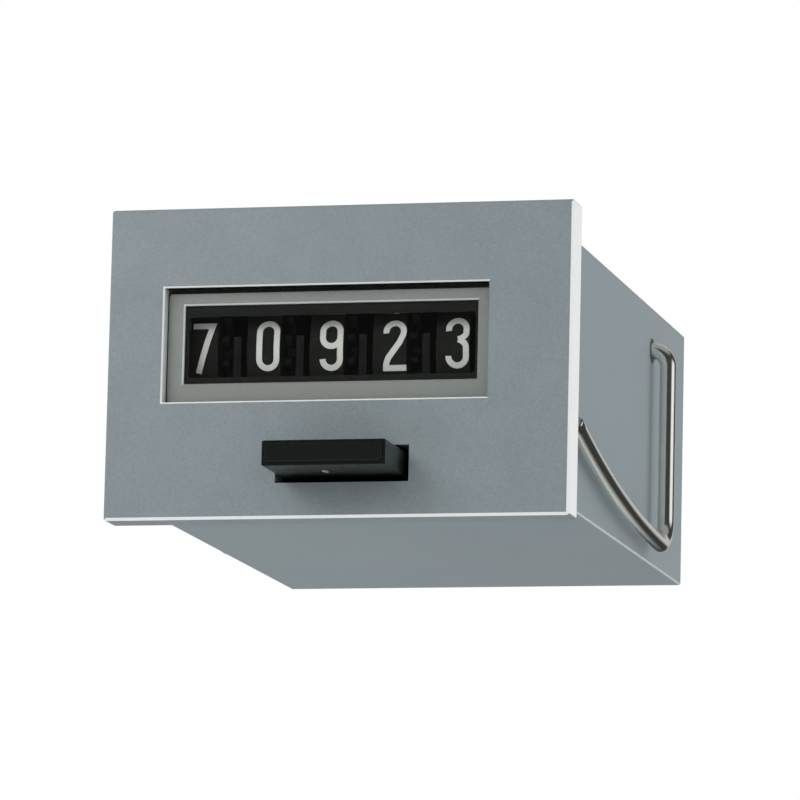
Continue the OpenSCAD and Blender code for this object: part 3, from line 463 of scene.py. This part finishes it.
def in_recess(p):
    """Whether a point lies inside the window's recess or at its rim."""
    inside = abs(p.x - RECESS_X) < RECESS_HALF[0] and abs(p.z - RECESS_Z) < RECESS_HALF[1]
    return inside and p.y < LEDGE_REAR


def is_painted_highlight(p, n):
    """Whether the face takes the painted highlight: the flange's sides, its right and lower bevels, and the
    recess's rim and left wall.
    """
    bevel = n.y < -BEVEL and max(abs(n.x), abs(n.z)) > BEVEL
    if in_recess(p):
        left_wall = n.x > FACING and p.x < RECESS_X
        return left_wall or bevel and n.x > -BEVEL and (p.y < RIM_Y or n.z < BEVEL)
    at_side = abs(p.x) > FLANGE_X - NEAR and abs(n.x) > FACING
    return at_side or bevel and (n.x > BEVEL or n.z < -BEVEL)


def is_painted_shade_wall(p, n):
    """Whether the face is the recess's upper wall, which takes black as painted shade."""
    return in_recess(p) and n.z < -FACING and p.z > UPPER_WALL_Z


# the ledge takes the lighter grey: painted light in the recess
repainted(flange, ledge_painted_light, lambda p, n: in_recess(p) and p.y > FACE_Y)
# black on the recess's upper wall: painted shade
repainted(flange, key_black, is_painted_shade_wall)
# painted highlight on the sides, the right and lower bevels, and the recess's rim and left wall
repainted(flange, painted_highlight_edge, is_painted_highlight)

# %% [markdown]
# The housing's long edges are folded. The lower ones are painted lighter, a painted highlight on their
# rounding, and the upper ones and the rear rim are painted darker, a painted dark reflection along the edge.

# %% Long edges of the housing
REAR = 78.5
# the lower folds take a painted highlight
repainted(tube, painted_highlight_fold, lambda p, n: abs(n.x) > FOLD and n.z < -FOLD)
# the upper folds and the rear rim take a painted dark reflection
repainted(tube, painted_dark_reflection_edge, lambda p, n: abs(n.x) > FOLD and n.z > FOLD or p.y > REAR - NEAR and n.y > FACING)

# %% [markdown]
# ## Number wheels
# Each wheel is a black moulding with ten printed figures. Its teeth and the comb's fingers stand in the
# gaps between the faces, so the copies of the CAD wheels keep both.

# %% Wheels
WHEELS = ["ten_thousands", "thousands", "hundreds", "tens", "units"]
for wheel in WHEELS:
    softened(f"{wheel}_wheel", f"{wheel}_drum", wheel_black, f"{wheel}_wheel", 0.08)
softened("reset_comb", "comb", comb_grey, "key", 0.08)

# %% [markdown]
# The figures follow the plain rounded lettering of instrument dials. Each is written with one pen: a
# round-cornered path of constant width. A font would bring its own proportions, so the paths are given
# here as arcs, bends and straight runs.

# %% Pen paths of the ten figures
HEIGHT, WIDTH, PEN = 6.52, 3.02, 0.76
A = (WIDTH - PEN) / 2
B = (HEIGHT - PEN) / 2


def arc(x, y, radius, start, end, steps=20):
    """Points on a circle from one angle to another, in degrees."""
    turn = [math.radians(start + (end - start) * k / steps) for k in range(steps + 1)]
    return [(x + radius * math.cos(t), y + radius * math.sin(t)) for t in turn]


def bend(p, q, r, steps=12):
    """A curve that leaves p towards q and reaches r from q."""
    share = [k / steps for k in range(steps + 1)]
    return [tuple((1 - t) ** 2 * p[i] + 2 * t * (1 - t) * q[i] + t * t * r[i] for i in (0, 1)) for t in share]


LOOP = arc(0, B - A, A, 0, 180) + arc(0, 1.02, A, 180, 360)
HOOK = [(A, B - A)] + arc(0, A - B, A, 0, -180)
FIGURES = {
    # the strokes of each figure: a path, and whether it runs back to its start
    0: [(arc(0, B - A, A, 0, 180) + arc(0, A - B, A, 180, 360), True)],
    1: [([(-0.85, B - 1.0), (0.3, B - 0.02), (0.3, -B - PEN / 2)], False)],
    2: [(arc(0, B - A, A, 190, -22) + bend((0.62, 0.36), (-0.2, -0.75), (-0.72, -1.45))
         + bend((-0.72, -1.45), (-A, -2.1), (-A, -B)) + [(A + PEN / 2, -B)], False)],
    3: [(arc(0, B - A, A, 192, 0) + bend((A, 1.3), (A, 0.75), (0.1, 0.42)), False),
        (bend((0.1, 0.42), (A, 0.1), (A, -0.75)) + arc(0, A - B, A, 0, -184), False)],
    4: [([(0.2, B + PEN / 2), (-A - 0.1, -1.3), (A + 0.45, -1.3)], False),
        ([(0.62, 0.4), (0.62, -B - PEN / 2)], False)],
    5: [([(A + 0.2, B), (-A + 0.1, B), (-A + 0.1, 0.45)] + bend((-A + 0.1, 0.45), (A, 1.2), (A, -0.6))
         + arc(0, A - B, A, 0, -172), False)],
    6: [([(-x, -y) for x, y in LOOP], True), ([(-x, -y) for x, y in HOOK], False)],
    7: [([(-A - PEN / 2, B), (A - 0.05, B), (-0.66, -B - PEN / 2)], False)],
    8: [(arc(0, B - 1.05, 1.05, 0, 180) + arc(0, 1.35, 1.05, 180, 360), True),
        (arc(0, 0.3 - A, A, 0, 180) + arc(0, A - B, A, 180, 360), True)],
    9: [(LOOP, True), (HOOK, False)],
}
print("strokes:", {digit: len(paths) for digit, paths in FIGURES.items()})

# %% [markdown]
# A print is a film of ink a few hundredths thick. Each path becomes a flat bar as wide as the pen, mitred at
# its corners, and a Boolean unites the bars of one figure. A curve with a bevel could draw the same bars,
# but they would overlap where strokes meet, and a figure should be one closed skin.

# %% From pen path to flat solid
DEEP, PROUD = 0.12, 0.025          # how far the print reaches into the wheel's face, and stands above it
LONGEST_STEP, SAME_POINT = 0.35, 1e-4
SHARPEST = 0.4                     # a corner's mitre is cut off at the pen's half width over this


def evened(path, closed):
    """The path without double points or long steps, so that it can follow the wheel's curve."""
    clean = [Vector(p) for k, p in enumerate(path)
             if k == 0 or (Vector(p) - Vector(path[k - 1])).length > SAME_POINT]
    if closed and (clean[0] - clean[-1]).length < SAME_POINT:
        clean.pop()
    ends = clean[1:] + ([clean[0]] if closed else [])
    result = []
    for p, q in zip(clean, ends):
        steps = max(1, math.ceil((q - p).length / LONGEST_STEP))
        result += [p.lerp(q, k / steps) for k in range(steps)]
    return result if closed else result + [clean[-1]]


def stroke_solid(name, path, closed):
    """A flat bar of the pen's width along the path, mitred at its corners."""
    points = evened(path, closed)
    count = len(points)
    left, right_side = [], []
    for k, p in enumerate(points):
        before = points[k - 1] if k or closed else p - (points[1] - p)
        after = points[(k + 1) % count] if k < count - 1 or closed else p + (p - points[k - 1])
        a, b = (p - before).normalized(), (after - p).normalized()
        side = Vector((-a.y - b.y, a.x + b.x)).normalized()
        reach = PEN / 2 / max(SHARPEST, side.dot(Vector((-b.y, b.x))))
        left.append(p + side * reach)
        right_side.append(p - side * reach)
    verts = [(q.x, q.y, z) for z in (0, -DEEP) for row in (left, right_side) for q in row]
    spans = count if closed else count - 1
    faces = []
    for k in range(spans):
        m = (k + 1) % count
        faces += [(k, m, m + count, k + count), (k + 3 * count, m + 3 * count, m + 2 * count, k + 2 * count),
                  (k, k + 2 * count, m + 2 * count, m), (k + count, m + count, m + 3 * count, k + 3 * count)]
    if not closed:
        last = count - 1
        faces += [(0, count, 3 * count, 2 * count),
                  (last, last + 2 * count, last + 3 * count, last + count)]
    solid = new_object(name, verts, faces)
    shape = bmesh.new()
    shape.from_mesh(solid.data)
    bmesh.ops.recalc_face_normals(shape, faces=shape.faces)
    shape.to_mesh(solid.data)
    shape.free()
    return solid


def flat_figure(digit):
    """The strokes of one figure, united, as vertices and faces."""
    first, *rest = [stroke_solid(f"stroke_{digit}_{k}", *stroke) for k, stroke in enumerate(FIGURES[digit])]
    for other in rest:
        unite = first.modifiers.new("unite", "BOOLEAN")
        unite.operation = "UNION"
        unite.object = other
    bpy.context.view_layer.update()
    result = first.evaluated_get(bpy.context.evaluated_depsgraph_get()).to_mesh()
    verts = [v.co.copy() for v in result.vertices]
    faces = [tuple(p.vertices) for p in result.polygons]
    for solid in (first, *rest):
        bpy.data.objects.remove(solid)
    return verts, faces


flat_figures = {digit: flat_figure(digit) for digit in FIGURES}
print("points per figure:", {digit: len(shape[0]) for digit, shape in flat_figures.items()})

# %% [markdown]
# Ten figures stand 36 degrees apart round each wheel, and the wheel's turn decides which one shows. No
# print is perfect: every wheel's figures sit a little off, and the photograph shows by how much. A
# Shrinkwrap modifier could press the flat figures on, but it squeezes them. Here each point turns by the
# angle that its height covers on the wheel's face, so the figures keep their proportions.

# %% Lay the figures round the wheels
WHEEL_R, WHEEL_Y, WHEEL_Z = 12, 12.7, 2.7
PITCH, MIDDLE_X, FIGURE_STEP = 8.2, -2.2, 36
SHOWN = (7, 0, 9, 2, 3)
SHIFT = (-0.31, -0.08, 0.0, 0.03, -0.08)     # how far each wheel's print is out, sideways and round the wheel
LIFT = (0.17, 0.31, 0.19, 0.03, 0.2)


def laid_round(point, x, lift, turn):
    """A point of a flat figure, bent round the wheel at that turn above the front."""
    angle = (point.y + lift) / WHEEL_R + math.radians(turn)
    radius = WHEEL_R + PROUD + point.z
    return Vector((x + point.x, WHEEL_Y - radius * math.cos(angle), WHEEL_Z + radius * math.sin(angle))) * MM


for i, wheel in enumerate(WHEELS):
    x = MIDDLE_X + (i - 2) * PITCH + SHIFT[i]
    verts, faces = [], []
    for digit, (shape_verts, shape_faces) in flat_figures.items():
        start = len(verts)
        turn = (digit - SHOWN[i]) * FIGURE_STEP
        verts += [laid_round(p, x, LIFT[i], turn) for p in shape_verts]
        faces += [tuple(start + v for v in face) for face in shape_faces]
    figures = new_object(f"{wheel}_figures", verts, faces, figure_paint)
    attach(figures, f"{wheel}_wheel")
print("figures on five wheels show", SHOWN)

# %% [markdown]
# ## The window's pane
# A clear pane lies in the recess. Light passes it almost freely, so it is made see-through with a thin
# gloss on top. Real refraction would cost many samples, and on a flat pane it can't be seen.

# %% Pane
nodes["window_pane"].data.materials.clear()
nodes["window_pane"].data.materials.append(clear_pane)

# %% [markdown]
# Behind the ledge a thin black frame hides the figures above and below the row that is read: painted
# shade, as those figures lie in shade. It sits in the mask's opening. A black line, painted shade too,
# lies along the top of the window and is thinner at the other three sides. Both could be painted on what
# lies behind them. They are sheets with a window cut in them, built from an outer and an inner outline,
# because their edges have a thickness that the light finds.

# %% Figure frame and painted shade line
CORNER_CUT = 0.3
SHEETS = {
    # name: outer box, inner box (X from, to, Z from, to), front and rear, finish
    # painted shade: a black frame where the figures above and below lie in shade
    "figure_shade_frame": ((-20.45, 17.45, -2.25, 7.65), (-20.1, 17.1, -1.45, 6.35), (-2.05, -1.8), wheel_black),
    # painted shade: a black line along the window's top, thinner at the other three sides
    "shade_line": ((-22.7, 19.2, -4.85, 9.65), (-22.6, 19.1, -4.75, 9.2), (-2.8, -2.72), key_black),
}


def outline(box):
    """The eight points of a box in X and Z with cut corners."""
    x0, x1, z0, z1 = box
    cut = CORNER_CUT
    return [(x0 + cut, z0), (x1 - cut, z0), (x1, z0 + cut), (x1, z1 - cut), (x1 - cut, z1), (x0 + cut, z1),
            (x0, z1 - cut), (x0, z0 + cut)]


for name, (outer, inner, depths, paint) in SHEETS.items():
    sheet_points = [Vector((x, y, z)) * MM for box in (outer, inner) for y in depths for x, z in outline(box)]
    sheet_faces = []
    # the rings start at point 0 (outer, front), 8 (outer, rear), 16 (inner, front) and 24 (inner, rear)
    for first, second in ((0, 16), (16, 24), (24, 8), (8, 0)):
        sheet_faces += band(first, second, 8)
    sheet = new_object(name, sheet_points, sheet_faces, paint)
    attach(sheet, "case")
    print(name, "leaves", round(inner[3] - inner[2], 2), "mm open")

# %% [markdown]
# On the key's underside lies a small pale oval. It could be a spot of another colour in the key's shader,
# but here it is a flat button of its own that stands out a little.

# %% Pale oval
OVAL, OVAL_HALF, KEY_BELOW, RIM_POINTS = (-0.15, -8.5), (0.4, 1.0), -14.7, 24
OVAL_LEVELS = ((1, 0.02), (1, 0), (0.7, -0.04))     # width as a share, and height from the key's underside
rim = [polar(1, 360 * k / RIM_POINTS) for k in range(RIM_POINTS)]
oval_points = [Vector((OVAL[0] + share * OVAL_HALF[0] * p.x, OVAL[1] + share * OVAL_HALF[1] * p.y,
                       KEY_BELOW + z)) * MM for share, z in OVAL_LEVELS for p in rim]
oval_faces = [tuple(range(RIM_POINTS)), tuple(range(2 * RIM_POINTS, 3 * RIM_POINTS))[::-1]]
oval_faces += band(0, RIM_POINTS, RIM_POINTS) + band(RIM_POINTS, 2 * RIM_POINTS, RIM_POINTS)
# a small pale oval on the key's underside
oval = new_object("pale_oval", oval_points, oval_faces, oval_grey)
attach(oval, "key")
print("pale oval at", OVAL)

# %% [markdown]
# ## Retaining wires
# A bent spring wire at each side presses the housing's flange against the panel. The CAD wire has flat
# facets. Here the same middle line is swept with a round section, smooth along its bends, with ends
# that are cut and slightly rounded, as a cropped wire is. The photograph shows next to no shadow of the
# wire on the housing, so the lamps pass the wires, and only their closeness darkens the paint a little.
# It doesn't show the left wire either: it is bent by hand a little higher, and hides behind the housing.

# %% Middle line of a wire
WIRE_R, WIRE_Y, WIRE_Z = 1.1, 56.9, 11.4
BEND_R, VEE_R, LOW_Z = 2.2, 3.8, -15.2
SLOPE, BOW, LEAN, LEG_GAP = 2.3, 13.7, 0.8, 2.5
STEM_X, BODY_X = 24.2, 27.5
STEM_STEPS, BEND_STEPS, LEG_STEPS, BOW_STEPS = 3, 12, 8, 24
RAISED = {"left": 0.35, "right": 0}


def wire_line(raised):
    """Points of a right wire's middle line: stem, top bend, upright, lower bend and bowed leg."""
    line = [Vector((STEM_X + (BODY_X - STEM_X) * k / STEM_STEPS, WIRE_Y, WIRE_Z)) for k in range(STEM_STEPS)]
    for k in range(BEND_STEPS + 1):
        turned = polar(BEND_R, 90 - 90 * k / BEND_STEPS)
        line.append(Vector((BODY_X + turned.x, WIRE_Y, WIRE_Z - BEND_R + turned.y)))
    vee = Vector((-VEE_R, LOW_Z + raised + VEE_R))
    span = WIRE_Y - VEE_R - LEG_GAP
    bow_r = span / (math.cos(math.radians(SLOPE + BOW / 2)) * math.radians(BOW))
    bow_middle = vee + polar(bow_r - VEE_R, 90 - SLOPE)
    top = WIRE_Z - BEND_R
    leg = [Vector((0, top + (vee.y - top) * k / LEG_STEPS)) for k in range(1, LEG_STEPS)]
    leg += [vee + polar(VEE_R, -k * (90 + SLOPE) / BOW_STEPS) for k in range(BOW_STEPS + 1)]
    leg += [bow_middle + polar(bow_r, 270 - SLOPE - k * BOW / BOW_STEPS) for k in range(1, BOW_STEPS + 1)]
    lean = math.radians(LEAN)
    for p in leg:
        line.append(Vector((BODY_X + BEND_R + math.sin(lean) * p.x, WIRE_Y + math.cos(lean) * p.x, p.y)))
    return line


wire_lines = {side: wire_line(raised) for side, raised in RAISED.items()}
for side, line in wire_lines.items():
    wire_length = sum((b - a).length for a, b in zip(line, line[1:]))
    print(side, "wire:", round(wire_length, 1), "mm long, leg ends at", [round(v, 2) for v in line[-1]])

# %% [markdown]
# A ring of points is carried along the line. It turns no more than the line does, so the wire doesn't
# twist. A curve with a round bevel would give nearly the same bar, but not its rounded ends, and this
# helper serves the return spring as well.

# %% Sweep the wires
END_ROUND = 0.227                  # share of the wire's radius


def swept(name, line, radius, paint, sides=28):
    """A round bar along the line, with rounded ends."""
    first = (line[1] - line[0]).normalized()
    across = first.orthogonal().normalized()
    final = (line[-1] - line[-2]).normalized()
    cut = END_ROUND * radius
    rounding = [(0, cut), (0.3 * cut, 0.3 * cut), (cut, 0)]
    stations = [(line[0] + first * ahead, radius - less) for ahead, less in rounding]
    stations += [(p, radius) for p in line[1:-1]]
    stations += [(line[-1] - final * ahead, radius - less) for ahead, less in reversed(rounding)]
    verts, faces, along = [], [], first
    for k, (point, size) in enumerate(stations):
        ahead = stations[min(k + 1, len(stations) - 1)][0] - stations[max(k - 1, 0)][0]
        ahead.normalize()
        across = along.rotation_difference(ahead) @ across
        along = ahead
        beside = along.cross(across)
        for s in range(sides):
            turned = polar(size, 360 * s / sides)
            verts.append((point + across * turned.x + beside * turned.y) * MM)
        if k:
            faces += band((k - 1) * sides, k * sides, sides)
    faces.append(tuple(range(sides))[::-1])
    faces.append(tuple(range(len(verts) - sides, len(verts))))
    bar = new_object(name, verts, faces, paint)
    bar.data.shade_smooth()
    return bar


for side, sign in (("left", -1), ("right", 1)):
    mirrored = [Vector((sign * p.x, p.y, p.z)) for p in wire_lines[side]]
    wire = swept(f"{side}_spring_wire", mirrored, WIRE_R, spring_steel)
    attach(wire, f"{side}_wire")
    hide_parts(f"{side}_retaining_wire")
    wire.visible_shadow = False
print("wires swept:", ", ".join(wire_lines))

# %% [markdown]
# ## Inside the housing
# The mechanism can't be seen in the photograph, but it moves with the joints and shows when the housing
# is taken off. Its parts could be softened copies too, but the CAD solids have the right shape already, so
# they only need their finishes.

# %% Finishes of the inner parts
INNER = {
    plate_steel: ["left_side_plate", "right_side_plate", "spring_bar", "pinion_carrier", "magnet_yoke",
                  "magnet_core", "armature"],
    turned_steel: ["tie_rods", "wheel_shaft", "carrier_shaft", "pinion_shaft", "cross_pins", "armature_pin",
                   "armature_spring"],
    ivory_plastic: ["coil_bobbin"] + [f"{wheel}_pinion" for wheel in WHEELS[:4]],
    copper_wire: ["coil_winding"],
    cover_black: ["rear_bridge"],
}
for paint, names in INNER.items():
    for name in names:
        nodes[name].data.materials.clear()
        nodes[name].data.materials.append(paint)
print("inner parts:", sum(len(names) for names in INNER.values()))

# %% [markdown]
# The key's return spring sits between the comb and a fixed bar, so it gets shorter as the key goes in. A
# rigid one would then stand through the comb. This one is a wire swept along a helix at its resting
# length and rides on the case; nothing here flattens it with the key's stroke. Its two end turns lie
# close, as a wound spring's do.

# %% Return spring
COIL_R, STRAND_R, KEY_STROKE = 1.9, 0.25, 4.5
END_TURNS, OPEN_TURNS, TURN_STEPS = 1, 6, 24
spring_low, spring_high = (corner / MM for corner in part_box("reset_spring"))
spring_middle = (spring_low + spring_high) / 2
spring_length = spring_high.y - spring_low.y
close_rise = 2.1 * STRAND_R
open_rise = (spring_length - 2 * STRAND_R - 2 * END_TURNS * close_rise) / OPEN_TURNS
helix = []
for k in range(TURN_STEPS * (OPEN_TURNS + 2 * END_TURNS) + 1):
    turns = k / TURN_STEPS
    opened = min(max(turns - END_TURNS, 0), OPEN_TURNS)
    rise = STRAND_R + opened * open_rise + (turns - opened) * close_rise
    turned = polar(COIL_R, 360 * turns)
    helix.append(Vector((spring_middle.x + turned.x, spring_low.y + rise, spring_middle.z + turned.y)))
return_spring = swept("return_spring", helix, STRAND_R, spring_steel, 12)
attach(return_spring, "case")
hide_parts("reset_spring")
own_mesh(return_spring)
print("return spring:", round(spring_length, 2), "mm long,", round(spring_length - KEY_STROKE, 2), "pressed")
